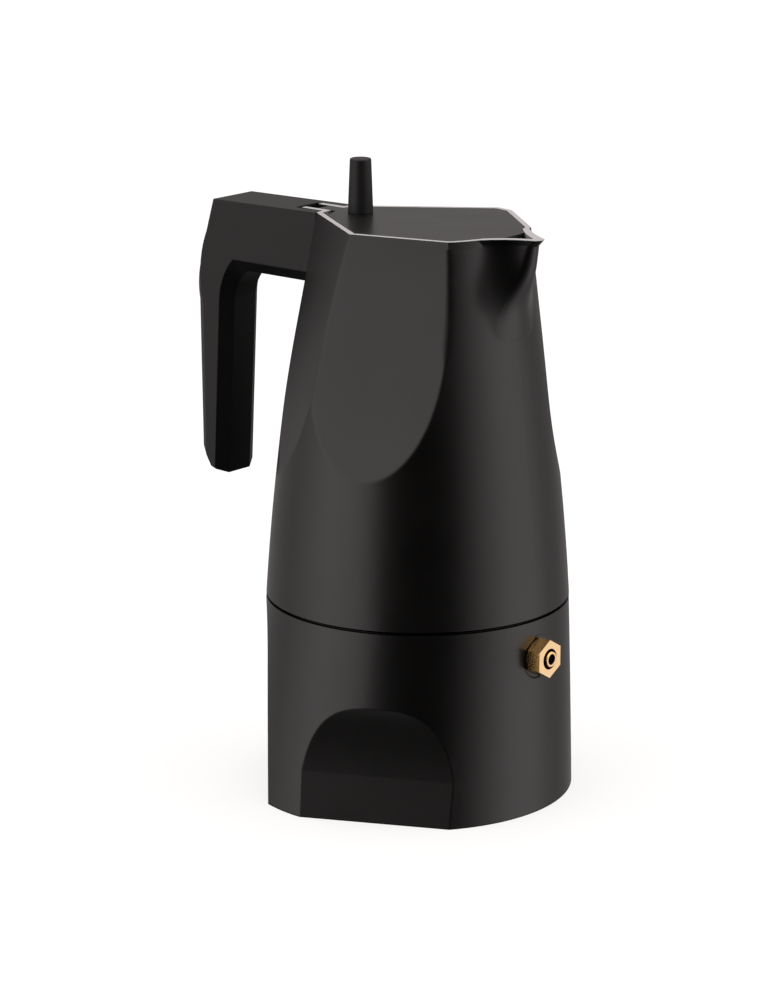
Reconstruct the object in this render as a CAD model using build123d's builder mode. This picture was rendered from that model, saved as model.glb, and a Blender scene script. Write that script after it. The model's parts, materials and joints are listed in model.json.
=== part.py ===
from build123d import *
import os
from collections import namedtuple
from math import acos, atan2, cos, radians, sin, tan

# A stovetop moka pot. Millimetres, +Z up, the table at z = 0. The pot's axis is the Z axis,
# the spout points along +X and the handle stands on the -X side.

# ---------------------------------------------------------------- heights
seam_z = 67.3  # where boiler and collector meet
seam_gap = 0.3  # daylight between the two vessels when they are screwed together
rim_z = 196.3  # polished rim of the collector

# ---------------------------------------------------------------- collector
wall = 4.0  # cast side wall
rim_land = 1.9  # flat polished land round the rim
form_top_z = rim_z + 5.0  # the side form is drawn past the rim, and cut where it is used

# Radius of the round form at heights above the seam.
Station = namedtuple("Station", "above_seam radius")
side_stations = (
    Station(0.0, 52.1),
    Station(22.0, 50.5),
    Station(50.0, 47.7),
    Station(85.0, 43.3),
    Station(114.0, 39.5),
    Station(form_top_z - seam_z, 38.3),
)

# Flats of the collector: how far each stands from the axis at heights up to the rim.
Flat = namedtuple("Flat", "azimuth profile")
collector_flats = (
    Flat(-73.9, ((100.0, 56.2), (130.0, 42.6), (160.0, 34.3), (185.0, 31.0), (205.0, 30.6))),
    Flat(-123.9, ((100.0, 51.5), (205.0, 26.7))),
    Flat(49.5, ((102.0, 50.4), (112.0, 46.6), (128.0, 42.6), (150.0, 40.2), (178.0, 37.6), (205.0, 33.2))),
    Flat(126.0, ((100.0, 51.5), (205.0, 26.7))),
)
flat_reach = 90.0

# Beak: a rounded nose and its two flanks, at heights from where it leaves the body.
Beak = namedtuple("Beak", "z nose_x nose_radius root_radius hollow wall")
beak_sections = (
    Beak(161.0, 41.9, 30.0, 41.6, 0.1, 4.2),
    Beak(168.0, 42.5, 22.0, 40.9, 0.1, 4.0),
    Beak(175.0, 44.2, 13.0, 40.0, 0.2, 3.4),
    Beak(182.0, 47.2, 6.5, 39.3, 0.9, 2.8),
    Beak(189.0, 49.1, 4.0, 38.8, 2.0, 2.4),
    Beak(196.0, 50.2, 3.0, 38.2, 2.4, 2.3),
    Beak(203.0, 51.0, 3.0, 37.8, 2.5, 2.3),
)
# azimuth at which each flank leaves the body, and its share of the hollow
beak_flanks = ((-27.0, 1.0), (22.0, 0.3))
lip_low_z = 194.0
lip_foot_inset = 0.3  # the lip starts this far behind the beak's nose
lip_nose_x = 52.2

floor_top_z = 89.0
underside_rise = 2.0  # the floor's underside rises towards the column
tongue_notch_reach = 6.0

# ---------------------------------------------------------------- boiler
base_radius = 56.7
base_centre = (-2.4, -1.5)
waist_z = 43.0
waist_radius = 53.8
waist_centre = (-0.9, -0.5)
boiler_top_radius = 52.0
boiler_floor = 4.0
boiler_bore = 46.5
shoulder_z = 56.0  # where the boiler's inside starts to close in
neck_bore = 35.5
neck_radius = 40.0
neck_top_z = 79.0
seam_groove_radius = 50.3
seam_groove_height = 0.35

# Scoops pressed into the boiler's side, open at the base and arched at the top.
Scoop = namedtuple("Scoop", "azimuth foot face knee_z top_z roll")
boiler_scoops = (
    Scoop(azimuth=-64.0, foot=50.8, face=49.2, knee_z=16.0, top_z=42.5, roll=6.6),
    Scoop(azimuth=-141.0, foot=50.6, face=51.0, knee_z=45.0, top_z=66.0, roll=1.2),
    Scoop(azimuth=64.0, foot=50.8, face=49.2, knee_z=16.0, top_z=42.5, roll=6.6),
    Scoop(azimuth=141.0, foot=50.6, face=51.0, knee_z=45.0, top_z=66.0, roll=1.2),
)

# ---------------------------------------------------------------- funnel, gasket, filter
screw_clearance = 0.35  # between the two vessels' screw threads, taken as plain cylinders
flange_radius = 38.5
flange_thickness = 1.0
funnel_clearance = 0.3
sheet = 0.9  # aluminium sheet of the funnel
cup_foot_z = 53.0
cup_cone_z = 47.0
stem_radius = 4.4
stem_bore = 3.5
stem_foot_z = 9.0
stem_overlap = 5.0
filter_sheet = 0.8
filter_hole_radius = 0.9
filter_ring_pitch = 7.0
filter_rings = 4
filter_clearance = 0.1
ledge = 1.0  # ledge that the funnel's filter rests on
gasket_thickness = 4.0
gasket_radius = 37.5
gasket_bore = 31.0
gasket_clearance = 0.3
upper_filter_radius = 32.5
upper_filter_thickness = 1.0

# ---------------------------------------------------------------- column
column_radius = 6.0
column_top_radius = 5.0
column_tail_radius = 5.0
column_bore = 3.5
column_top_z = 166.0
column_flange = 7.5
column_flange_thickness = 1.2
column_cap = 3.0
outlet_height = 6.0
outlet_width = 3.0

# ---------------------------------------------------------------- lid and knob
lid_thickness = 1.7
lid_seat_depth = 1.7  # the closed lid is flush with the rim
lid_clearance = 0.3
lid_front_radius = 39.6
lid_rear_x = -34.2
lid_rear_corner = (-30.6, 13.0)
knob_x = -25.8
knob_foot_radius = 4.35
knob_top_radius = 3.65
knob_height = 18.7
knob_edge = 0.6

# ---------------------------------------------------------------- hinge
hinge_x = -43.5
hinge_z = 192.5
hinge_pin_radius = 1.0
hinge_running_clearance = 0.05
knuckle_radius = 3.2
knuckle_half_width = 3.0
ear_gap = 0.2
ear_thickness = 2.4
ear_rear_x = -47.5
tongue_rise = 0.4  # air under the tongue where it crosses the rim

# ---------------------------------------------------------------- handle
boss_front_x = -37.5
boss_rear_x = -56.0
boss_low_z = 177.0
boss_high_z = 188.2
boss_half_width = knuckle_half_width + ear_gap + ear_thickness
pocket_clearance = 0.3
handle_fit = 0.1
handle_half_width = 10.0
handle_face_half_width = 5.5
slot_rear_x = -50.3
handle_front_x = -36.0
handle_rear_x = -84.4
handle_rear_z = 195.6
handle_shoulder_x = -87.8
handle_shoulder_z = 184.0
arm_underside_z = 170.9
counterbore_radius = 3.9

# Grip outlines in the XZ plane: the side faces, and the front and rear faces between them.
Grip = namedtuple("Grip", "rear_bend rear_top rear_low tip_rear tip_front front_top arm_start")
handle_side = Grip(
    rear_bend=(-90.4, 175.5),
    rear_top=(-89.6, 158.0),
    rear_low=(-89.0, 103.0),
    tip_rear=(-86.8, 99.4),
    tip_front=(-85.0, 99.0),
    front_top=(-82.2, 160.0),
    arm_start=(-75.6, 175.2),
)
handle_middle = Grip(
    rear_bend=(-94.8, 171.5),
    rear_top=(-95.3, 158.0),
    rear_low=(-94.4, 105.0),
    tip_rear=(-88.6, 97.0),
    tip_front=(-82.4, 96.8),
    front_top=(-78.9, 160.0),
    arm_start=(-72.8, arm_underside_z),
)

# ---------------------------------------------------------------- screws and washers
screw_radius = 1.95
screw_clearance_radius = 2.15
screw_head_radius = 3.3
screw_head_height = 2.0
driver_slot_width = 1.0
driver_slot_depth = 1.0
washer_radius = 3.6
washer_thickness = 0.6
thread_fit = 0.03
handle_screw_x = -52.0
handle_counterbore_depth = 3.0
handle_screw_end_z = 185.0
knob_screw_length = 12.0

# ---------------------------------------------------------------- safety valve, on an axis along X
valve_z = 54.3
valve_seat_x = 52.0
valve_seat_radius = 7.4
valve_washer_thickness = 0.5
valve_hex_across = 11.5
valve_hex_length = 5.0
valve_shank_radius = 4.0
valve_shank_clearance = 0.05
valve_inner_x = 43.0
chamber_radius = 2.9
chamber_end_x = 51.5
guide_radius = 1.55
pin_radius = 1.5
cap_pocket_x = 54.5
cap_pocket_radius = 3.6
cap_radius = 2.7
cap_foot_x = 55.0
cap_face_x = 58.3
cap_hole_radius = 1.7
cap_hole_depth = 2.6
retainer_thickness = 1.5
retainer_port_radius = 1.5
seal_radius = 2.5
seal_thickness = 1.0
pin_flange_radius = 2.4
pin_flange_thickness = 0.6
spring_wire_radius = 0.3
spring_mean_radius = 2.15
spring_turns = 5

os.makedirs("parts", exist_ok=True)


def finish(part, name):
    """Name a finished sub-part and write its STEP file."""
    part.label = name
    export_step(part, f"parts/{name}.step")


# ---------------------------------------------------------------- shared forms
def side_plane(azimuth):
    """Upright plane through the pot's axis: local x runs outwards, local y runs up."""
    turn = radians(azimuth)
    return Plane(origin=(0, 0, 0), x_dir=(cos(turn), sin(turn), 0), z_dir=(sin(turn), -cos(turn), 0))


def flat_cutter(flat, inset):
    """Everything that lies outside one flat of the collector."""
    with BuildPart() as cutter:
        with BuildSketch(side_plane(flat.azimuth)):
            with BuildLine():
                face = Spline(*[(distance - inset, z) for z, distance in flat.profile])
                low, high = face @ 0, face @ 1
                Polyline(high, (flat_reach, high.Y), (flat_reach, low.Y), low)
            make_face()
        extrude(amount=flat_reach, both=True)
    return cutter.part


def round_form(inset, low_z, high_z):
    """The collector's flatted round form between two heights, moved inwards by inset."""
    with BuildPart() as form:
        with BuildSketch(Plane.XZ):
            with BuildLine():
                side = Spline(*[(s.radius - inset, seam_z + s.above_seam) for s in side_stations])
                Polyline(side @ 1, (0, form_top_z), (0, seam_z), side @ 0)
            make_face()
        revolve(axis=Axis.Z)
        for flat in collector_flats:
            add(flat_cutter(flat, inset), mode=Mode.SUBTRACT)
        split(bisect_by=Plane.XY.offset(low_z), keep=Keep.TOP)
        split(bisect_by=Plane.XY.offset(high_z), keep=Keep.BOTTOM)
    return form.part


def beak_outline(section, inset):
    """Level section of the beak: a nose arc between two hollow flanks, closed inside the body."""
    radius = section.nose_radius - inset
    centre = Vector(section.nose_x - section.nose_radius, 0)
    flanks = []
    for azimuth, share in beak_flanks:
        turn = radians(abs(azimuth))
        root = Vector(cos(turn), sin(turn)) * (section.root_radius - inset)
        reach = root - centre
        hollow = section.hollow * share
        # the flank leaves the nose arc at a tangent
        half = atan2(reach.Y, reach.X) - acos(radius / reach.length) + 4 * hollow / reach.length
        nose = centre + Vector(cos(half), sin(half)) * radius
        along = (root - nose).normalized()
        middle = (nose + root) * 0.5 + Vector(-along.Y, along.X) * hollow
        side = 1 if azimuth > 0 else -1
        flanks.append([(point.X, side * point.Y) for point in (nose, middle, root)])
    near, far = flanks
    with BuildSketch(Plane.XY.offset(section.z), mode=Mode.PRIVATE) as outline:
        with BuildLine():
            ThreePointArc(near[0], (centre.X + radius, 0), far[0])
            ThreePointArc(*far)
            Line(far[2], near[2])
            ThreePointArc(near[2], near[1], near[0])
        make_face()
    return outline.sketch


def beak_form(wall_share, clearance, low_z, high_z):
    """The beak between two heights: its outside for wall_share 0, its trough for wall_share 1."""
    with BuildPart() as form:
        for section in beak_sections:
            add(beak_outline(section, wall_share * section.wall + clearance))
        loft()
        split(bisect_by=Plane.XY.offset(low_z), keep=Keep.TOP)
        split(bisect_by=Plane.XY.offset(high_z), keep=Keep.BOTTOM)
    return form.part


def disc(radius, low_z, high_z):
    """A plain cylinder on the pot's axis between two heights."""
    with BuildPart() as cylinder:
        with BuildSketch(Plane.XY.offset(low_z)):
            Circle(radius)
        extrude(amount=high_z - low_z)
    return cylinder.part


def turned(outline, axis=Axis.Z):
    """A solid of revolution from an outline of (radius, height) points."""
    with BuildPart() as solid:
        with BuildSketch(Plane.XZ):
            with BuildLine():
                Polyline(*outline, close=True)
            make_face()
        revolve(axis=axis)
    return solid.part


# ---------------------------------------------------------------- boiler
def scoop_cutter(scoop):
    """Everything outside one scoop: a leaning face that rolls out to the side at its top."""
    with BuildPart() as cutter:
        with BuildSketch(side_plane(scoop.azimuth)):
            with BuildLine():
                foot = Line((scoop.foot, -1), (scoop.face, scoop.knee_z))
                roll = EllipticalCenterArc(
                    (scoop.face + scoop.roll, scoop.knee_z),
                    scoop.roll,
                    scoop.top_z - scoop.knee_z,
                    start_angle=90,
                    arc_size=90,
                )
                Polyline(roll @ 0, (flat_reach, scoop.top_z), (flat_reach, -1), foot @ 0)
            make_face()
        extrude(amount=flat_reach, both=True)
    return cutter.part


boiler_top_z = seam_z - seam_gap / 2
boiler_inside = (
    (0, boiler_floor),
    (boiler_bore - 4, boiler_floor),
    (boiler_bore, boiler_floor + 4),
    (boiler_bore, shoulder_z),
    (neck_bore, shoulder_z + boiler_bore - neck_bore),
    (neck_bore, neck_top_z + 1),
    (0, neck_top_z + 1),
)
valve_axis_plane = Plane(origin=(0, 0, valve_z), x_dir=(0, 1, 0), z_dir=(1, 0, 0))

with BuildPart() as boiler:
    for z, centre, radius in (
        (0, base_centre, base_radius),
        (waist_z, waist_centre, waist_radius),
        (boiler_top_z, (0, 0), boiler_top_radius),
    ):
        with BuildSketch(Plane.XY.offset(z)):
            with Locations(centre):
                Circle(radius)
    loft()
    for scoop in boiler_scoops:
        add(scoop_cutter(scoop), mode=Mode.SUBTRACT)
    # step that leaves the shadow line at the seam
    with BuildSketch(Plane.XY.offset(boiler_top_z)):
        Circle(flat_reach)
        Circle(seam_groove_radius, mode=Mode.SUBTRACT)
    extrude(amount=-seam_groove_height, mode=Mode.SUBTRACT)
    add(disc(neck_radius, boiler_top_z - 1, neck_top_z))
    add(turned(boiler_inside), mode=Mode.SUBTRACT)
    # hole and flat seat of the safety valve
    with BuildSketch(valve_axis_plane.offset(boiler_bore - 5)):
        Circle(valve_shank_radius + valve_shank_clearance)
    extrude(amount=20, mode=Mode.SUBTRACT)
    with BuildSketch(valve_axis_plane.offset(valve_seat_x)):
        Circle(valve_seat_radius)
    extrude(amount=10, mode=Mode.SUBTRACT)
finish(boiler.part, "boiler")


# ---------------------------------------------------------------- safety valve
def on_valve_axis(x):
    """Plane across the valve's axis at a distance from the pot's axis."""
    return valve_axis_plane.offset(x)


hex_foot_x = valve_seat_x + valve_washer_thickness
hex_face_x = hex_foot_x + valve_hex_length
retainer_face_x = valve_inner_x + retainer_thickness
seal_face_x = retainer_face_x + seal_thickness
spring_low_x = seal_face_x + pin_flange_thickness

with BuildPart() as valve_body:
    with BuildSketch(on_valve_axis(valve_inner_x)):
        Circle(valve_shank_radius)
    extrude(amount=hex_foot_x - valve_inner_x)
    with BuildSketch(on_valve_axis(hex_foot_x)):
        RegularPolygon(valve_hex_across / 2, 6, major_radius=False, rotation=30)
    extrude(amount=valve_hex_length)
    # turned chamfer on the hexagon's outer face
    with BuildSketch(Plane.XZ.move(Location((0, 0, valve_z)))):
        with BuildLine():
            Polyline(
                (hex_face_x, valve_hex_across / 2),
                (hex_face_x + 1, valve_hex_across / 2),
                (hex_face_x + 1, valve_hex_across),
                (hex_face_x - 1.2, valve_hex_across / 2 + 1.2 * tan(radians(60))),
                close=True,
            )
        make_face()
    revolve(axis=Axis((0, 0, valve_z), (1, 0, 0)), mode=Mode.SUBTRACT)
    for low_x, high_x, radius in (
        (valve_inner_x, chamber_end_x, chamber_radius),
        (chamber_end_x, cap_pocket_x, guide_radius),
        (cap_pocket_x, hex_face_x, cap_pocket_radius),
    ):
        with BuildSketch(on_valve_axis(low_x)):
            Circle(radius)
        extrude(amount=high_x - low_x, mode=Mode.SUBTRACT)
finish(valve_body.part, "valve_body")

with BuildPart() as valve_washer:
    with BuildSketch(on_valve_axis(valve_seat_x)):
        Circle(valve_hex_across / 2)
        Circle(valve_shank_radius + valve_shank_clearance, mode=Mode.SUBTRACT)
    extrude(amount=valve_washer_thickness)
finish(valve_washer.part, "valve_washer")

with BuildPart() as valve_pin:
    for low_x, high_x, radius in (
        (seal_face_x, spring_low_x, pin_flange_radius),
        (seal_face_x, cap_foot_x, pin_radius),
        (cap_foot_x, cap_face_x, cap_radius),
    ):
        with BuildSketch(on_valve_axis(low_x)):
            Circle(radius)
        extrude(amount=high_x - low_x)
    with BuildSketch(on_valve_axis(cap_face_x)):
        Circle(cap_hole_radius)
    extrude(amount=-cap_hole_depth, mode=Mode.SUBTRACT)
    rim_edges = valve_pin.faces().filter_by(Axis.X).sort_by(Axis.X)[-1].edges()
    fillet(rim_edges, radius=(cap_radius - cap_hole_radius) * 0.3)
finish(valve_pin.part, "valve_pin")

with BuildPart() as valve_seal:
    with BuildSketch(on_valve_axis(retainer_face_x)):
        Circle(seal_radius)
    extrude(amount=seal_thickness)
finish(valve_seal.part, "valve_seal")

with BuildPart() as valve_retainer:
    with BuildSketch(on_valve_axis(valve_inner_x)):
        Circle(chamber_radius - thread_fit)
        Circle(retainer_port_radius, mode=Mode.SUBTRACT)
    extrude(amount=retainer_thickness)
finish(valve_retainer.part, "valve_retainer")

spring_length = chamber_end_x - spring_low_x - 2 * spring_wire_radius
with BuildPart() as valve_spring:
    with BuildLine() as coil:
        Helix(
            pitch=spring_length / spring_turns,
            height=spring_length,
            radius=spring_mean_radius,
            center=(spring_low_x + spring_wire_radius, 0, valve_z),
            direction=(1, 0, 0),
        )
    with BuildSketch(Plane(origin=coil.line @ 0, z_dir=coil.line % 0)):
        Circle(spring_wire_radius)
    sweep(path=coil.line, is_frenet=True)
finish(valve_spring.part, "valve_spring")

# ---------------------------------------------------------------- coffee funnel
cup_radius = neck_bore - funnel_clearance
flange_top_z = neck_top_z + flange_thickness
filter_seat_z = cup_foot_z + ledge
collar_bore = stem_radius + thread_fit
cup_outline = (
    (cup_radius, neck_top_z),
    (flange_radius, neck_top_z),
    (flange_radius, flange_top_z),
    (cup_radius - sheet, flange_top_z),
    (cup_radius - sheet, filter_seat_z),
    (cup_radius - sheet - ledge, filter_seat_z),
    (cup_radius - sheet - ledge, cup_foot_z),
    (collar_bore, cup_cone_z),
    (collar_bore, cup_cone_z - stem_overlap),
    (collar_bore + sheet, cup_cone_z - stem_overlap),
    (collar_bore + sheet, cup_cone_z - sheet),
    (cup_radius, cup_foot_z - sheet),
)

with BuildPart() as funnel_cup:
    add(turned(cup_outline))
finish(funnel_cup.part, "funnel_cup")

with BuildPart() as funnel_stem:
    with BuildSketch(Plane.XY.offset(stem_foot_z)):
        Circle(stem_radius)
        Circle(stem_bore, mode=Mode.SUBTRACT)
    extrude(amount=cup_cone_z - stem_foot_z)
finish(funnel_stem.part, "funnel_stem")


def perforated_plate(radius, low_z, thickness):
    """Round plate with a centre hole and rings of holes round it."""
    with BuildPart() as plate:
        with BuildSketch(Plane.XY.offset(low_z)):
            Circle(radius)
            for ring in range(filter_rings + 1):
                with PolarLocations(ring * filter_ring_pitch, max(1, 6 * ring)):
                    Circle(filter_hole_radius, mode=Mode.SUBTRACT)
        extrude(amount=thickness)
    return plate.part


with BuildPart() as funnel_filter:
    add(perforated_plate(cup_radius - sheet - filter_clearance, filter_seat_z, filter_sheet))
finish(funnel_filter.part, "funnel_filter")

# ---------------------------------------------------------------- gasket and upper filter
gasket_high_z = flange_top_z + gasket_thickness
upper_filter_low_z = gasket_high_z - upper_filter_thickness
gasket_seat_radius = upper_filter_radius + filter_clearance

with BuildPart() as gasket:
    with BuildSketch(Plane.XY.offset(flange_top_z)):
        Circle(gasket_radius)
        Circle(gasket_bore, mode=Mode.SUBTRACT)
    extrude(amount=gasket_thickness)
    with BuildSketch(Plane.XY.offset(upper_filter_low_z)):
        Circle(gasket_seat_radius)
    extrude(amount=upper_filter_thickness, mode=Mode.SUBTRACT)
finish(gasket.part, "gasket")

with BuildPart() as upper_filter:
    add(perforated_plate(upper_filter_radius, upper_filter_low_z, upper_filter_thickness))
finish(upper_filter.part, "upper_filter")

# ---------------------------------------------------------------- collector
collector_foot_z = seam_z + seam_gap / 2
skirt_bore = neck_radius + screw_clearance
recess_low_z = flange_top_z + gasket_clearance
recess_radius = gasket_radius + gasket_clearance
underside = (
    (0, seam_z - 1),
    (skirt_bore, seam_z - 1),
    (skirt_bore, recess_low_z),
    (recess_radius, recess_low_z),
    (recess_radius, gasket_high_z),
    (gasket_bore - 1, gasket_high_z),
    (column_flange, gasket_high_z + underside_rise),
    (0, gasket_high_z + underside_rise),
)
lid_low_z = rim_z - lid_seat_depth
lid_top_z = lid_low_z + lid_thickness
ear_inner = knuckle_half_width + ear_gap

with BuildPart() as collector:
    add(round_form(0, collector_foot_z, rim_z))
    add(beak_form(0, 0, beak_sections[0].z, rim_z))
    # lip that stands out at the top of the beak
    mouth = beak_sections[-2]
    for z, nose_x in ((lip_low_z, mouth.nose_x - lip_foot_inset), (rim_z, lip_nose_x)):
        add(beak_outline(mouth._replace(z=z, nose_x=nose_x), 0))
    loft(ruled=True)
    add(round_form(wall, floor_top_z, form_top_z), mode=Mode.SUBTRACT)
    add(beak_form(1, 0, beak_sections[0].z, beak_sections[-1].z), mode=Mode.SUBTRACT)
    add(round_form(rim_land, lid_low_z, form_top_z), mode=Mode.SUBTRACT)
    add(turned(underside), mode=Mode.SUBTRACT)
    add(disc(column_tail_radius + thread_fit, gasket_high_z, floor_top_z + 1), mode=Mode.SUBTRACT)
    # step that leaves the shadow line at the seam
    with BuildSketch(Plane.XY.offset(collector_foot_z)):
        Circle(flat_reach)
        Circle(seam_groove_radius, mode=Mode.SUBTRACT)
    extrude(amount=seam_groove_height, mode=Mode.SUBTRACT)
    # boss that the handle is screwed to
    with BuildSketch(Plane.XZ):
        with BuildLine():
            Polyline(
                (boss_front_x, boss_low_z),
                (boss_front_x, boss_high_z),
                (boss_rear_x, boss_high_z),
                (boss_rear_x, boss_low_z),
                close=True,
            )
        make_face()
    extrude(amount=boss_half_width, both=True)
    # two ears of the hinge
    for side in (-1, 1):
        with BuildSketch(Plane.XZ.offset(side * (ear_inner + ear_thickness / 2))):
            with BuildLine():
                Polyline(
                    (boss_front_x, boss_high_z - 1),
                    (boss_front_x, rim_z),
                    (ear_rear_x, rim_z),
                    (ear_rear_x, boss_high_z - 1),
                    close=True,
                )
            make_face()
        extrude(amount=ear_thickness / 2, both=True)
    with BuildSketch(Plane.XZ):
        with Locations((hinge_x, hinge_z)):
            Circle(hinge_pin_radius + thread_fit)
    extrude(amount=flat_reach, both=True, mode=Mode.SUBTRACT)
    # gap in the rim for the lid's tongue
    with BuildSketch(Plane.XY.offset(lid_low_z - tongue_rise)):
        with Locations((boss_front_x, 0)):
            Rectangle(2 * tongue_notch_reach, 2 * ear_inner)
    extrude(amount=lid_thickness + tongue_rise, mode=Mode.SUBTRACT)
    # tapped hole for the handle screw
    with BuildSketch(Plane.XY.offset(boss_low_z)):
        with Locations((handle_screw_x, 0)):
            Circle(screw_radius + thread_fit)
    extrude(amount=handle_screw_end_z + 1 - boss_low_z, mode=Mode.SUBTRACT)
finish(collector.part, "collector")

with BuildPart() as hinge_pin:
    with BuildSketch(Plane.XZ):
        with Locations((hinge_x, hinge_z)):
            Circle(hinge_pin_radius)
    extrude(amount=boss_half_width, both=True)
finish(hinge_pin.part, "hinge_pin")

# ---------------------------------------------------------------- column
column_low_z = gasket_high_z + underside_rise
column_outline = (
    (column_bore, column_low_z),
    (column_tail_radius, column_low_z),
    (column_tail_radius, floor_top_z),
    (column_flange, floor_top_z),
    (column_flange, floor_top_z + column_flange_thickness),
    (column_radius, floor_top_z + column_flange_thickness),
    (column_top_radius, column_top_z - column_top_radius / 2),
    (column_top_radius / 2, column_top_z),
    (0, column_top_z),
    (0, column_top_z - column_cap),
    (column_bore, column_top_z - column_cap),
)
outlet_z = column_top_z - column_cap - outlet_height / 2 - 1

with BuildPart() as column:
    add(turned(column_outline))
    with BuildSketch(Plane.XZ):
        with Locations((0, outlet_z)):
            SlotCenterToCenter(outlet_height - outlet_width, outlet_width, rotation=90)
    extrude(amount=column_radius, both=True, mode=Mode.SUBTRACT)
finish(column.part, "column")

# ---------------------------------------------------------------- lid
lid_inset = rim_land + lid_clearance
with BuildPart() as lid_nose:
    add(beak_form(1, lid_clearance, lid_low_z, lid_top_z))
    add(disc(lid_front_radius, lid_low_z, lid_top_z), mode=Mode.INTERSECT)

with BuildPart() as lid:
    add(round_form(lid_inset, lid_low_z, lid_top_z))
    add(lid_nose.part)
    # upright edge, which clears the leaning rim as the lid swings open
    extrude(lid.faces().sort_by(Axis.Z)[-1], amount=-lid_thickness, mode=Mode.INTERSECT)
    # the plate stops short of the hinge on both sides of its tongue
    corner_x, corner_y = lid_rear_corner
    with BuildSketch(Plane.XY.offset(lid_low_z)):
        with BuildLine():
            Polyline(
                (lid_rear_x, knuckle_half_width),
                (corner_x, corner_y),
                (corner_x, flat_reach),
                (-flat_reach, flat_reach),
                (-flat_reach, -flat_reach),
                (corner_x, -flat_reach),
                (corner_x, -corner_y),
                (lid_rear_x, -knuckle_half_width),
                close=True,
            )
        make_face()
    extrude(amount=lid_thickness, mode=Mode.SUBTRACT)
    # tongue and hinge knuckle
    with BuildSketch(Plane.XZ):
        with BuildLine():
            Polyline(
                (lid_rear_x + 2, lid_low_z),
                (lid_rear_x + 2, lid_top_z),
                (hinge_x + 1.2, lid_top_z),
                (hinge_x - knuckle_radius * cos(radians(45)), hinge_z + knuckle_radius * sin(radians(45))),
                (hinge_x, hinge_z),
                (hinge_x + knuckle_radius - 0.2, hinge_z),
                (hinge_x + knuckle_radius + 1, lid_low_z),
                close=True,
            )
        make_face()
        with Locations((hinge_x, hinge_z)):
            Circle(knuckle_radius)
            Circle(hinge_pin_radius + hinge_running_clearance, mode=Mode.SUBTRACT)
    extrude(amount=knuckle_half_width, both=True)
    # hole for the knob's screw
    with BuildSketch(Plane.XY.offset(lid_low_z)):
        with Locations((knob_x, 0)):
            Circle(screw_clearance_radius)
    extrude(amount=lid_thickness, mode=Mode.SUBTRACT)
finish(lid.part, "lid")

with BuildPart() as lid_knob:
    with BuildSketch(Plane(origin=(knob_x, 0, lid_top_z), x_dir=(1, 0, 0), z_dir=(0, -1, 0))):
        with BuildLine():
            Polyline((0, 0), (knob_foot_radius, 0), (knob_top_radius, knob_height), (0, knob_height), close=True)
        make_face()
    revolve(axis=Axis((knob_x, 0, 0), (0, 0, 1)))
    fillet(lid_knob.edges().group_by(Axis.Z)[-1], radius=knob_edge)
    with BuildSketch(Plane.XY.offset(lid_top_z)):
        with Locations((knob_x, 0)):
            Circle(screw_radius + thread_fit)
    extrude(amount=knob_screw_length, mode=Mode.SUBTRACT)
finish(lid_knob.part, "lid_knob")


# ---------------------------------------------------------------- screws and washers
def upright_screw(x, seat_z, end_z):
    """Slotted screw driven upwards: its head hangs below seat_z and its tip is at end_z."""
    with BuildPart() as screw:
        with BuildSketch(Plane.XY.offset(seat_z)):
            with Locations((x, 0)):
                Circle(screw_radius)
        extrude(amount=end_z - seat_z)
        with BuildSketch(Plane.XY.offset(seat_z - screw_head_height)):
            with Locations((x, 0)):
                Circle(screw_head_radius)
        extrude(amount=screw_head_height)
        with BuildSketch(Plane.XY.offset(seat_z - screw_head_height)):
            with Locations((x, 0)):
                Rectangle(2 * screw_head_radius + 1, driver_slot_width)
        extrude(amount=driver_slot_depth, mode=Mode.SUBTRACT)
    return screw.part


def upright_washer(x, top_z):
    """Flat washer whose upper face is at top_z."""
    with BuildPart() as washer:
        with BuildSketch(Plane.XY.offset(top_z - washer_thickness)):
            with Locations((x, 0)):
                Circle(washer_radius)
                Circle(screw_clearance_radius, mode=Mode.SUBTRACT)
        extrude(amount=washer_thickness)
    return washer.part


counterbore_top_z = arm_underside_z + handle_counterbore_depth
knob_screw_seat_z = lid_low_z - washer_thickness
handle_screw_seat_z = counterbore_top_z - washer_thickness

with BuildPart() as knob_screw:
    add(upright_screw(knob_x, knob_screw_seat_z, lid_top_z + knob_screw_length - 1))
finish(knob_screw.part, "knob_screw")

with BuildPart() as knob_washer:
    add(upright_washer(knob_x, lid_low_z))
finish(knob_washer.part, "knob_washer")

with BuildPart() as handle_screw:
    add(upright_screw(handle_screw_x, handle_screw_seat_z, handle_screw_end_z))
finish(handle_screw.part, "handle_screw")

with BuildPart() as handle_washer:
    add(upright_washer(handle_screw_x, counterbore_top_z))
finish(handle_washer.part, "handle_washer")


# ---------------------------------------------------------------- handle
def handle_outline(grip):
    """Side view of the handle at one depth: arm above, grip hanging from its rear end."""
    with BuildSketch(mode=Mode.PRIVATE) as outline:
        with BuildLine():
            shoulder = (handle_shoulder_x, handle_shoulder_z)
            Polyline((handle_front_x, rim_z), (handle_rear_x, handle_rear_z), shoulder)
            ThreePointArc(shoulder, grip.rear_bend, grip.rear_top)
            Polyline(grip.rear_top, grip.rear_low, grip.tip_rear, grip.tip_front)
            front = Line(grip.tip_front, grip.front_top)
            TangentArc(grip.front_top, grip.arm_start, tangent=front % 1)
            Polyline(grip.arm_start, (handle_front_x, grip.arm_start[1]), (handle_front_x, rim_z))
        make_face()
    return outline.sketch


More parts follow.
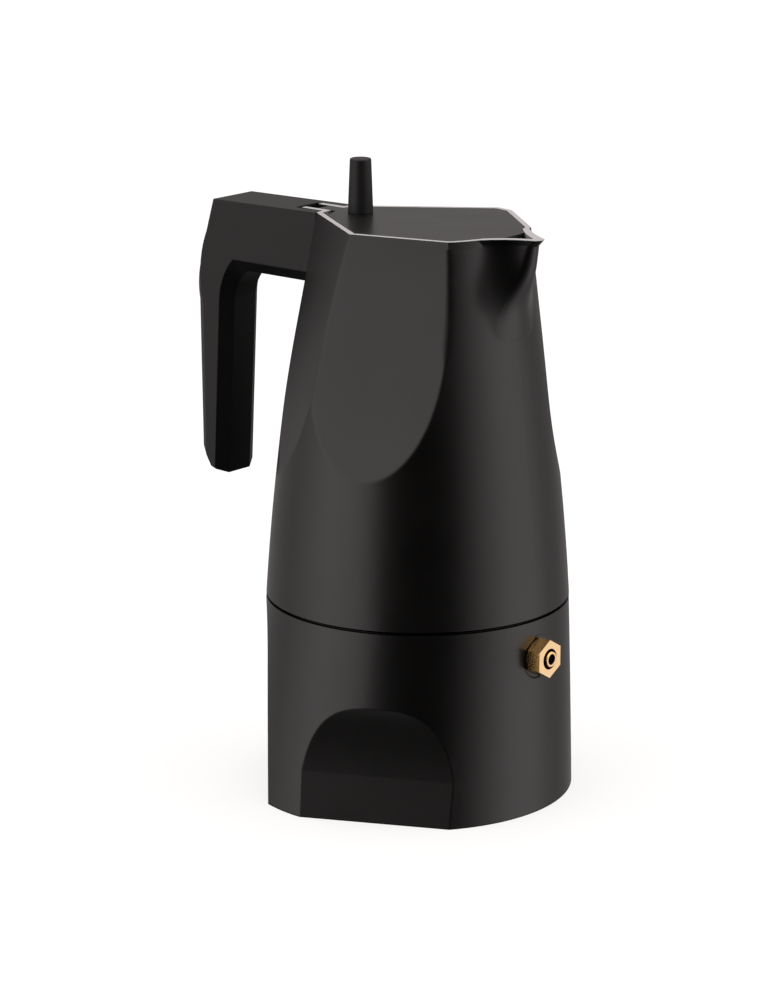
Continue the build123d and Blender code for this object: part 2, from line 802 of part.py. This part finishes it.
with BuildPart() as handle:
    with BuildSketch(Plane.XZ.offset(handle_half_width)):
        add(handle_outline(handle_side))
    with BuildSketch(Plane.XZ.offset(handle_face_half_width)):
        add(handle_outline(handle_middle))
    loft(ruled=True)
    with BuildSketch(Plane.XZ):
        add(handle_outline(handle_middle))
    extrude(amount=handle_face_half_width)
    mirror(about=Plane.XZ)
    # the arm's front end seats on the collector
    add(round_form(-handle_fit, boss_low_z - 30, form_top_z), mode=Mode.SUBTRACT)
    # pocket for the boss, and the slot above it for ears and knuckle
    pocket_half_width = boss_half_width + pocket_clearance
    for rear_x, low_z, high_z in (
        (boss_rear_x - pocket_clearance, boss_low_z - pocket_clearance, boss_high_z + pocket_clearance),
        (slot_rear_x, boss_high_z, form_top_z),
    ):
        with BuildSketch(Plane.XZ):
            with BuildLine():
                Polyline((0, low_z), (0, high_z), (rear_x, high_z), (rear_x, low_z), close=True)
            make_face()
        extrude(amount=pocket_half_width, both=True, mode=Mode.SUBTRACT)
    # screw hole from below
    for radius, high_z in ((screw_clearance_radius, boss_low_z), (counterbore_radius, counterbore_top_z)):
        with BuildSketch(Plane.XY.offset(arm_underside_z)):
            with Locations((handle_screw_x, 0)):
                Circle(radius)
        extrude(amount=high_z - arm_underside_z, mode=Mode.SUBTRACT)
finish(handle.part, "handle")
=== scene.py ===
import json
import math

import bmesh
import bpy
from mathutils import Matrix, Vector


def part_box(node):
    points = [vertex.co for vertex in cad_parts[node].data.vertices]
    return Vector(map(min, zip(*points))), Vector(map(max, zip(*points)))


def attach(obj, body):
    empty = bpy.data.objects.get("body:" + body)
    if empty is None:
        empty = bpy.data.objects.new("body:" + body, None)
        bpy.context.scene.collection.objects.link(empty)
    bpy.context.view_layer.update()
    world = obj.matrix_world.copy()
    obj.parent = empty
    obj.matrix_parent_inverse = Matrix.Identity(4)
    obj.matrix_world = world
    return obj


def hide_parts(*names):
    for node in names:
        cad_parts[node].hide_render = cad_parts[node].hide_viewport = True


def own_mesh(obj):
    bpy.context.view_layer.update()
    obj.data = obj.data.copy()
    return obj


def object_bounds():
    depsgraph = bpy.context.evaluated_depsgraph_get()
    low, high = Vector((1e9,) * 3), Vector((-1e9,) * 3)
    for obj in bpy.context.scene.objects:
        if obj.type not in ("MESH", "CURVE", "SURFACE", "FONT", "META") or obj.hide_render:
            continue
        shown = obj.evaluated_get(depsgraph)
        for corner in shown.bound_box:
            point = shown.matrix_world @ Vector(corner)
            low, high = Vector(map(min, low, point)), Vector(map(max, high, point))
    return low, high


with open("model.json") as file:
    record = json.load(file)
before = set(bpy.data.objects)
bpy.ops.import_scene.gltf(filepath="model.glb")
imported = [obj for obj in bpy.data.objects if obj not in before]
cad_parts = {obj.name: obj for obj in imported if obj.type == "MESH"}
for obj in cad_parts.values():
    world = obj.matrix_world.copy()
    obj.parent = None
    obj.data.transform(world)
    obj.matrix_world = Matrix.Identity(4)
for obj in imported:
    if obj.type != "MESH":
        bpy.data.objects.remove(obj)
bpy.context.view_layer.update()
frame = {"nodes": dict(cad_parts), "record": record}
nodes = frame["nodes"]

MM = 0.001

# ---------------------------------------------------------------- valve spring
SPRING_WIRE = 0.3 * MM
SPRING_TURNS = 5
SPRING_STEPS = 160
SPRING_SIDES = 10

# ---------------------------------------------------------------- camera
CAMERA_DISTANCE = 1.2
CAMERA_HEIGHT = 0.418856
CAMERA_AZIMUTH = math.radians(-50.7)
CAMERA_PITCH = 0.26
CAMERA_YAW = 0.009
CAMERA_ROLL = 0.002
CAMERA_LENS = 130.63

# ---------------------------------------------------------------- light round the object
# brightness seen in each direction, by degrees round the pot from the camera's side
SURROUND = (
    (-180, 0.35),
    (-146, 0.33),
    (-115, 0.45),
    (-95, 0.95),
    (-75, 1.6),
    (-52, 1.6),
    (-38, 1.3),
    (-30, 0.15),
    (-18, 0.0),
    (23, 0.0),
    (38, 0.3),
    (54, 0.95),
    (71, 1.42),
    (86, 1.4),
    (100, 1.1),
    (116, 0.45),
    (135, 0.3),
    (180, 0.35),
)
WARMTH = (1.0, 0.945, 0.93)
WHITE = (1.0, 1.0, 1.0)
OVERHEAD_LEVEL = 1.74
BELOW_LEVEL = 0.16
FLOOR_GREY = (0.30, 0.30, 0.30, 1.0)
FLOOR_GLOW = 0.70
FLOOR_CORNERS = 64


def make_camera():
    """The camera, in front of the valve's side and a little above the pot."""
    data = bpy.data.cameras.new("camera")
    data.lens = CAMERA_LENS
    camera = bpy.data.objects.new("camera", data)
    bpy.context.scene.collection.objects.link(camera)
    bpy.context.scene.camera = camera
    place = Vector(
        (
            CAMERA_DISTANCE * math.cos(CAMERA_AZIMUTH),
            CAMERA_DISTANCE * math.sin(CAMERA_AZIMUTH),
            CAMERA_HEIGHT,
        )
    )
    heading = CAMERA_AZIMUTH + math.pi + CAMERA_YAW
    ahead = Vector(
        (
            math.cos(heading) * math.cos(CAMERA_PITCH),
            math.sin(heading) * math.cos(CAMERA_PITCH),
            -math.sin(CAMERA_PITCH),
        )
    )
    right = ahead.cross(Vector((0, 0, 1))).normalized()
    up = right.cross(ahead)
    turn = Matrix((right, up, -ahead)).transposed().to_4x4()
    camera.matrix_world = Matrix.Translation(place) @ turn @ Matrix.Rotation(CAMERA_ROLL, 4, "Z")


class Graph:
    """Adds nodes to one node tree and joins them."""

    def __init__(self, tree):
        self.tree = tree
        tree.nodes.clear()

    def add(self, kind, inputs=None, **settings):
        """A node with its settings, and its inputs set to numbers or joined to sockets."""
        node = self.tree.nodes.new(kind)
        for key, value in settings.items():
            setattr(node, key, value)
        for key, value in (inputs or {}).items():
            socket = node.inputs[key]
            if isinstance(value, bpy.types.NodeSocket):
                self.tree.links.new(value, socket)
            else:
                socket.default_value = value
        return node

    def math(self, operation, first, second=0.0, clamp=False):
        node = self.add("ShaderNodeMath", {0: first, 1: second}, operation=operation)
        node.use_clamp = clamp
        return node.outputs[0]

    def step(self, value, low, high, from_value=0.0, to_value=1.0):
        """A smooth step from one value to another."""
        inputs = {"Value": value, 1: low, 2: high, 3: from_value, 4: to_value}
        node = self.add("ShaderNodeMapRange", inputs, interpolation_type="SMOOTHSTEP")
        return node.outputs["Result"]

    def mix(self, share, first, second):
        """A blend of two colours."""
        node = self.add("ShaderNodeMix", data_type="RGBA")
        for socket, value in ((0, share), (6, first), (7, second)):
            if isinstance(value, bpy.types.NodeSocket):
                self.tree.links.new(value, node.inputs[socket])
            elif socket:
                node.inputs[socket].default_value = (*value, 1.0)
            else:
                node.inputs[socket].default_value = value
        return node.outputs[2]

    def noise(self, vector, scale, detail=3.0, roughness=0.5):
        inputs = {"Vector": vector, "Scale": scale, "Detail": detail, "Roughness": roughness}
        return self.add("ShaderNodeTexNoise", inputs).outputs["Fac"]

    def bump(self, height, distance, normal=None):
        inputs = {"Height": height, "Distance": distance}
        if normal:
            inputs["Normal"] = normal
        return self.add("ShaderNodeBump", inputs).outputs["Normal"]

    def rounded(self, radius):
        """The normal of edges that are blended over with a soft radius."""
        return self.add("ShaderNodeBevel", {"Radius": radius}, samples=6).outputs["Normal"]


def make_world():
    """White behind the object, and soft light from both sides with the camera's side left dark."""
    world = bpy.data.worlds.new("studio")
    bpy.context.scene.world = world
    world.use_nodes = True
    graph = Graph(world.node_tree)
    direction = graph.add("ShaderNodeTexCoord").outputs["Generated"]
    part = graph.add("ShaderNodeSeparateXYZ", {0: direction}).outputs
    angle = graph.math("ARCTAN2", part["Y"], part["X"])
    offset = graph.math("SUBTRACT", angle, CAMERA_AZIMUTH - math.pi)
    share = graph.math("FRACT", graph.math("DIVIDE", offset, 2 * math.pi))
    ramp_node = graph.add("ShaderNodeValToRGB", {"Fac": share})
    ramp = ramp_node.color_ramp
    ramp.interpolation = "EASE"
    brightest = max(level for _, level in SURROUND)
    while len(ramp.elements) < len(SURROUND):
        ramp.elements.new(0.5)
    for element, (degrees, level) in zip(ramp.elements, SURROUND):
        element.position = (degrees + 180) / 360
        element.color = (level / brightest,) * 3 + (1.0,)
    around = graph.math("MULTIPLY", ramp_node.outputs["Color"], brightest)
    # little comes from below, where the table falls away; the light at the right reaches lower down
    below_left = graph.step(part["Z"], -0.44, -0.27, BELOW_LEVEL, 1.0)
    below_right = graph.step(part["Z"], -0.8, -0.5, BELOW_LEVEL, 1.0)
    at_right = graph.step(share, 0.64, 0.72)
    below = graph.add("ShaderNodeMix", {0: at_right, 2: below_left, 3: below_right}).outputs[0]
    around = graph.math("MULTIPLY", around, below)
    # the sky overhead is one even soft light
    overhead = graph.step(part["Z"], 0.45, 0.8)
    spread = graph.add("ShaderNodeMix", {0: overhead, 2: around, 3: OVERHEAD_LEVEL}).outputs[0]
    seen = graph.add("ShaderNodeLightPath").outputs["Is Camera Ray"]
    strength = graph.add("ShaderNodeMix", {0: seen, 2: spread, 3: 1.0}).outputs[0]
    colour = graph.mix(seen, WARMTH, WHITE)
    back = graph.add("ShaderNodeBackground", {"Color": colour, "Strength": strength})
    output = graph.add("ShaderNodeOutputWorld")
    graph.tree.links.new(back.outputs[0], output.inputs["Surface"])


def make_floor():
    """A pale disc that keeps the object's shadow and is otherwise as white as what is behind it."""
    low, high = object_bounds()
    reach = 8 * (high - low).length
    mesh = bpy.data.meshes.new("floor")
    ring = [2 * math.pi * i / FLOOR_CORNERS for i in range(FLOOR_CORNERS)]
    points = [(reach * math.cos(a), reach * math.sin(a), low.z - 0.02 * MM) for a in ring]
    mesh.from_pydata(points, [], [tuple(range(FLOOR_CORNERS))])
    floor = bpy.data.objects.new("floor", mesh)
    bpy.context.scene.collection.objects.link(floor)
    material = bpy.data.materials.new("pale_floor")
    material.use_nodes = True
    graph = Graph(material.node_tree)
    diffuse = graph.add("ShaderNodeBsdfDiffuse", {"Color": FLOOR_GREY})
    glow = graph.add("ShaderNodeEmission", {"Color": (*WHITE, 1.0), "Strength": FLOOR_GLOW})
    both = graph.add("ShaderNodeAddShader", {0: diffuse.outputs[0], 1: glow.outputs[0]})
    output = graph.add("ShaderNodeOutputMaterial")
    graph.tree.links.new(both.outputs[0], output.inputs["Surface"])
    mesh.materials.append(material)
    floor.visible_glossy = False
    floor.visible_diffuse = False
    floor.visible_shadow = False


def make_flag():
    """A dark card behind the pot, which keeps the light at the right off the inside of the grip."""
    low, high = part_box("collector")
    left, right, near = low.x * 1.15, low.x * 0.1, high.y * 1.15
    bottom, top = low.z * 0.5, high.z * 0.88
    mesh = bpy.data.meshes.new("flag")
    points = [(left, near, bottom), (right, near, bottom), (right, near, top), (left, near, top)]
    mesh.from_pydata(points, [], [(0, 1, 2, 3)])
    flag = bpy.data.objects.new("flag", mesh)
    bpy.context.scene.collection.objects.link(flag)
    material = bpy.data.materials.new("dark_card")
    material.use_nodes = True
    graph = Graph(material.node_tree)
    cloth = graph.noise(graph.add("ShaderNodeTexCoord").outputs["Object"], 800.0)
    colour = graph.mix(cloth, (0.004, 0.004, 0.004), (0.008, 0.008, 0.008))
    diffuse = graph.add("ShaderNodeBsdfDiffuse", {"Color": colour})
    output = graph.add("ShaderNodeOutputMaterial")
    graph.tree.links.new(diffuse.outputs[0], output.inputs["Surface"])
    mesh.materials.append(material)
    flag.visible_camera = False
    flag.visible_diffuse = False
    flag.visible_shadow = False


# ---------------------------------------------------------------- materials
BLACK = (0.0, 0.0, 0.0)
COAT = (0.0017, 0.0015, 0.0014)
COAT_LIGHT = (0.0025, 0.0022, 0.0021)
PLASTIC = (0.0040, 0.0040, 0.0040)
PLASTIC_LIGHT = (0.0055, 0.0055, 0.0055)
RIM = (0.56, 0.56, 0.56)
ALUMINIUM = (0.86, 0.865, 0.87)
ALUMINIUM_DULL = (0.60, 0.605, 0.61)
STEEL = (0.64, 0.64, 0.65)
STEEL_DULL = (0.50, 0.50, 0.51)
STEEL_ROUGH = 0.28
BRASS = (0.98, 0.71, 0.41)
BRASS_DULL = (0.92, 0.64, 0.35)
# painted shade for the valve's bores and recesses, and a painted darker gold for its sides
BRASS_PAINTED_SHADE = (0.03, 0.014, 0.005)
BRASS_PAINTED_SIDE_SHADE = (1.0, 0.60, 0.21)
SEAM_SHADE_HEIGHT = 1.0 * MM  # height of the band of painted shadow at the seam
CRISP = 0.02  # share of the blending radius that is left at a crisp edge


def new_material(name):
    material = bpy.data.materials.new(name)
    material.use_nodes = True
    graph = Graph(material.node_tree)
    graph.coords = graph.add("ShaderNodeTexCoord")
    graph.place = graph.coords.outputs["Object"]
    return material, graph


def finish_material(graph, inputs):
    """The one shader of a material, joined to its output."""
    shader = graph.add("ShaderNodeBsdfPrincipled", inputs)
    output = graph.add("ShaderNodeOutputMaterial")
    graph.tree.links.new(shader.outputs[0], output.inputs["Surface"])




def bare_share(graph, top_z, foot_z, neck_z):
    """1 on the surfaces left uncoated: the inside, the rim, the ground foot and the screw neck."""
    place = graph.add("ShaderNodeSeparateXYZ", {0: graph.place}).outputs
    facing = graph.coords.outputs["Normal"]
    normal = graph.add("ShaderNodeSeparateXYZ", {0: facing}).outputs
    out_x = graph.math("MULTIPLY", place["X"], normal["X"])
    out_y = graph.math("MULTIPLY", place["Y"], normal["Y"])
    inward = graph.math("LESS_THAN", graph.math("ADD", out_x, out_y), -6 * MM)
    upward = graph.math("GREATER_THAN", normal["Z"], 0.7)
    high = graph.math("GREATER_THAN", place["Z"], top_z)
    down = graph.math("LESS_THAN", normal["Z"], -0.7)
    low = graph.math("LESS_THAN", place["Z"], foot_z)
    neck = graph.math("GREATER_THAN", place["Z"], neck_z)
    top = graph.math("MULTIPLY", upward, high)
    foot = graph.math("MULTIPLY", down, low)
    share = graph.math("MAXIMUM", inward, graph.math("MAXIMUM", top, foot))
    return graph.math("MAXIMUM", share, neck)


def soft_edges(graph, place, seam, soft, beak):
    """Blended edges, which are crisp at the seam and the rim and softest where the beak grows out."""
    radius = soft
    if beak:
        start_x, nose_x, start_z, crisp_z = beak
        ahead = graph.step(place["X"], start_x, start_x + 6 * MM)
        flank = graph.step(place["X"], nose_x - 4 * MM, nose_x, 1.0, 0.0)
        above = graph.step(place["Z"], start_z, start_z + 12 * MM)
        flowing = graph.math("MULTIPLY", graph.math("MULTIPLY", ahead, flank), above)
        radius = graph.step(flowing, 0.0, 1.0, soft, 5 * MM)
        near_rim = graph.step(place["Z"], crisp_z, crisp_z + 1 * MM, 1.0, CRISP)
        radius = graph.math("MULTIPLY", radius, near_rim)
    apart = graph.math("ABSOLUTE", graph.math("SUBTRACT", place["Z"], seam))
    radius = graph.math("MULTIPLY", radius, graph.step(apart, 1.5 * MM, 4 * MM, CRISP, 1.0))
    return graph.rounded(radius)


def coated_metal(name, bare_at, seam, polish_z=1.0, soft=0.4 * MM, beak=None):
    """Satin black coating over cast aluminium, with its bare surfaces and a band of painted shadow at
    the seam.
    """
    material, graph = new_material(name)
    place = graph.add("ShaderNodeSeparateXYZ", {0: graph.place}).outputs
    rounded = soft_edges(graph, place, seam, soft, beak)
    bare = bare_share(graph, *bare_at)
    polished = graph.math("GREATER_THAN", place["Z"], polish_z)
    # painted shadow at the seam: a band there is made black with no specular, standing for the shade in
    # the groove
    apart = graph.math("ABSOLUTE", graph.math("SUBTRACT", place["Z"], seam))
    clear_of_seam_shade = graph.math("GREATER_THAN", apart, SEAM_SHADE_HEIGHT / 2)
    cloud = graph.noise(graph.place, 60.0)
    grain = graph.noise(graph.place, 2600.0, detail=2.0)
    cast = graph.noise(graph.place, 900.0)
    coat = graph.mix(clear_of_seam_shade, BLACK, graph.mix(cloud, COAT, COAT_LIGHT))
    dull = graph.mix(cast, ALUMINIUM_DULL, ALUMINIUM)
    metal = graph.mix(polished, dull, RIM)
    coat_rough = graph.step(cloud, 0.2, 0.8, 0.29, 0.33)
    metal_rough = graph.step(polished, 0.0, 1.0, 0.46, 0.6)
    rough = graph.add("ShaderNodeMix", {0: bare, 2: coat_rough, 3: metal_rough}).outputs[0]
    relief = graph.add("ShaderNodeMix", {0: bare, 2: grain, 3: cast}).outputs[0]
    finish_material(
        graph,
        {
            "Base Color": graph.mix(bare, coat, metal),
            "Metallic": bare,
            "Roughness": rough,
            "Specular IOR Level": graph.math("MULTIPLY", clear_of_seam_shade, 0.5),
            "Normal": graph.bump(relief, 0.006 * MM, normal=rounded),
        },
    )
    return material


def black_plastic(name):
    """Matt moulded plastic with a fine etched grain."""
    material, graph = new_material(name)
    cloud = graph.noise(graph.place, 90.0)
    grain = graph.noise(graph.place, 3200.0, detail=3.0, roughness=0.6)
    colour = graph.mix(cloud, PLASTIC, PLASTIC_LIGHT)
    finish_material(
        graph,
        {
            "Base Color": colour,
            "Roughness": graph.step(grain, 0.3, 0.7, 0.46, 0.54),
            "Specular IOR Level": 0.32,
            "Normal": graph.bump(grain, 0.012 * MM, normal=graph.rounded(0.5 * MM)),
        },
    )
    return material


def turned_metal(name, dark, light, rough, pitch=0.25 * MM):
    """Metal with fine turning marks and a slightly clouded colour."""
    material, graph = new_material(name)
    cloud = graph.noise(graph.place, 400.0)
    marks = graph.noise(graph.place, 1.0 / pitch, detail=2.0)
    finish_material(
        graph,
        {
            "Base Color": graph.mix(cloud, dark, light),
            "Metallic": 1.0,
            "Roughness": graph.step(marks, 0.3, 0.7, rough - 0.05, rough + 0.05),
            "Normal": graph.bump(marks, 0.003 * MM),
        },
    )
    return material


def valve_brass(name, axis_z, face_x):
    """Turned brass with painted light and shade: its own colour on the outer face, a darker painted
    gold on the sides, and painted shade in the bores and below the outer face.
    """
    material, graph = new_material(name)
    place = graph.add("ShaderNodeSeparateXYZ", {0: graph.place}).outputs
    normal = graph.add("ShaderNodeSeparateXYZ", {0: graph.coords.outputs["Normal"]}).outputs
    out_y = graph.math("MULTIPLY", place["Y"], normal["Y"])
    out_z = graph.math("MULTIPLY", graph.math("SUBTRACT", place["Z"], axis_z), normal["Z"])
    inward = graph.math("LESS_THAN", graph.math("ADD", out_y, out_z), -0.5 * MM)
    # painted light and shade by facing: the outer face keeps the bright brass, the sides and bores are
    # painted darker
    across = graph.step(normal["X"], 0.9, 0.97)
    bevel = graph.step(normal["X"], 0.2, 0.4)
    # painted shade below the outer face, in the pin's recess
    below_face_shade = graph.step(place["X"], face_x - 0.9 * MM, face_x - 0.4 * MM, 0.1, 1.0)
    side = graph.step(bevel, 0.0, 1.0, 0.75, 0.6)
    bore_and_side_shade = graph.add("ShaderNodeMix", {0: inward, 2: side, 3: 0.15}).outputs[0]
    painted_shade_tone = graph.add("ShaderNodeMix", {0: across, 2: bore_and_side_shade, 3: below_face_shade}).outputs[0]
    cloud = graph.noise(graph.place, 500.0)
    marks = graph.noise(graph.place, 3500.0, detail=2.0)
    bright = graph.mix(cloud, BRASS_DULL, BRASS)
    colour = graph.mix(painted_shade_tone, BRASS_PAINTED_SHADE, bright)
    outward = graph.math("SUBTRACT", 1.0, inward)
    # the outward sides get a deeper gold, as painted shade
    flank = graph.math("MULTIPLY", outward, graph.math("SUBTRACT", 1.0, across))
    finish_material(
        graph,
        {
            "Base Color": graph.mix(flank, colour, BRASS_PAINTED_SIDE_SHADE),
            "Metallic": 1.0,
            "Roughness": graph.step(marks, 0.3, 0.7, 0.2, 0.28),
            "Normal": graph.bump(marks, 0.0008 * MM),
        },
    )
    return material


def soft_seal(name, dark, light, rough):
    """Silicone or pressed fibre."""
    material, graph = new_material(name)
    grain = graph.noise(graph.place, 1800.0)
    finish_material(
        graph,
        {
            "Base Color": graph.mix(grain, dark, light),
            "Roughness": graph.step(grain, 0.2, 0.8, rough - 0.05, rough + 0.08),
            "Specular IOR Level": 0.4,
            "Normal": graph.bump(grain, 0.02 * MM),
        },
    )
    return material


def make_spring():
    """The valve's spring as a coil of wire that rides with the boiler, in place of the CAD spring."""
    low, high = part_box("valve_spring")
    middle = Vector((low.x, (low.y + high.y) / 2, (low.z + high.z) / 2))
    coil_radius = (high.y - low.y) / 2 - SPRING_WIRE
    run = high.x - low.x - 2 * SPRING_WIRE
    along = Vector((1, 0, 0))
    points, faces = [], []
    for step in range(SPRING_STEPS + 1):
        turned = 2 * math.pi * SPRING_TURNS * step / SPRING_STEPS
        out = Vector((0, math.cos(turned), math.sin(turned)))
        place = middle + coil_radius * out + (SPRING_WIRE + run * step / SPRING_STEPS) * along
        for side in range(SPRING_SIDES):
            angle = 2 * math.pi * side / SPRING_SIDES
            across = math.cos(angle) * out + math.sin(angle) * along
            points.append(place + SPRING_WIRE * across)
    for step in range(SPRING_STEPS):
        for side in range(SPRING_SIDES):
            first, second = step * SPRING_SIDES, (step + 1) * SPRING_SIDES
            after = (side + 1) % SPRING_SIDES
            faces.append((first + side, first + after, second + after, second + side))
    last = SPRING_STEPS * SPRING_SIDES
    faces.append(tuple(reversed(range(SPRING_SIDES))))
    faces.append(tuple(range(last, last + SPRING_SIDES)))
    mesh = bpy.data.meshes.new("spring_coil")
    mesh.from_pydata(points, [], faces)
    work = bmesh.new()
    work.from_mesh(mesh)
    bmesh.ops.recalc_face_normals(work, faces=work.faces)
    work.to_mesh(mesh)
    work.free()
    for face in mesh.polygons:
        face.use_smooth = len(face.vertices) == 4
    spring = bpy.data.objects.new("spring_coil", mesh)
    bpy.context.scene.collection.objects.link(spring)
    mesh.materials.append(turned_metal("spring_steel", STEEL_DULL, STEEL, STEEL_ROUGH))
    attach(spring, "boiler_body")
    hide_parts("valve_spring")
    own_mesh(spring)


def dress_nodes():
    """Gives every CAD node its finish."""
    collector_low, collector_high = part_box("collector")
    rim = collector_high.z
    seam = collector_low.z
    neck = seam + 1.5 * MM
    plain = {
        "black_plastic": black_plastic("moulded_black"),
        "bare_aluminium": turned_metal("pressed_aluminium", ALUMINIUM_DULL, ALUMINIUM, 0.3),
        "brass": turned_metal("turned_brass", (0.66, 0.44, 0.17), (0.80, 0.58, 0.27), 0.24),
        "steel": turned_metal("plain_steel", STEEL_DULL, STEEL, STEEL_ROUGH),
        "silicone": soft_seal("white_silicone", (0.80, 0.79, 0.75), (0.88, 0.87, 0.83), 0.45),
        "fibre": soft_seal("pressed_fibre", (0.05, 0.025, 0.016), (0.10, 0.05, 0.032), 0.7),
    }
    hex_low, hex_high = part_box("valve_body")
    cap_low, cap_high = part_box("valve_pin")
    valve_z = (hex_low.z + hex_high.z) / 2
    own = {
        "valve_body": valve_brass("turned_valve_hex", valve_z, hex_high.x),
        "valve_pin": valve_brass("turned_valve_pin", valve_z, cap_high.x),
        "collector": coated_metal(
            "coated_collector",
            (80 * MM, seam + 20 * MM, 1.0),
            seam,
            polish_z=rim - 1.5 * MM,
            soft=1.6 * MM,
            beak=(28 * MM, 42 * MM, rim - 44 * MM, rim - 3 * MM),
        ),
        "boiler": coated_metal("coated_boiler", (neck, 1 * MM, neck), seam, soft=0.8 * MM),
        "lid": coated_metal("coated_lid", (1.0, -1.0, 1.0), seam),
    }
    slot_of = {row["node"]: row["material_slot"] for row in frame["record"]["subparts"]}
    for node, thing in nodes.items():
        material = own.get(node) or plain[slot_of[node]]
        if not thing.material_slots:
            thing.data.materials.append(material)
        for place in thing.material_slots:
            place.material = material


make_camera()
make_world()
make_floor()
make_flag()
make_spring()
dress_nodes()
bpy.context.scene.view_settings.view_transform = "Standard"

bpy.context.view_layer.update()
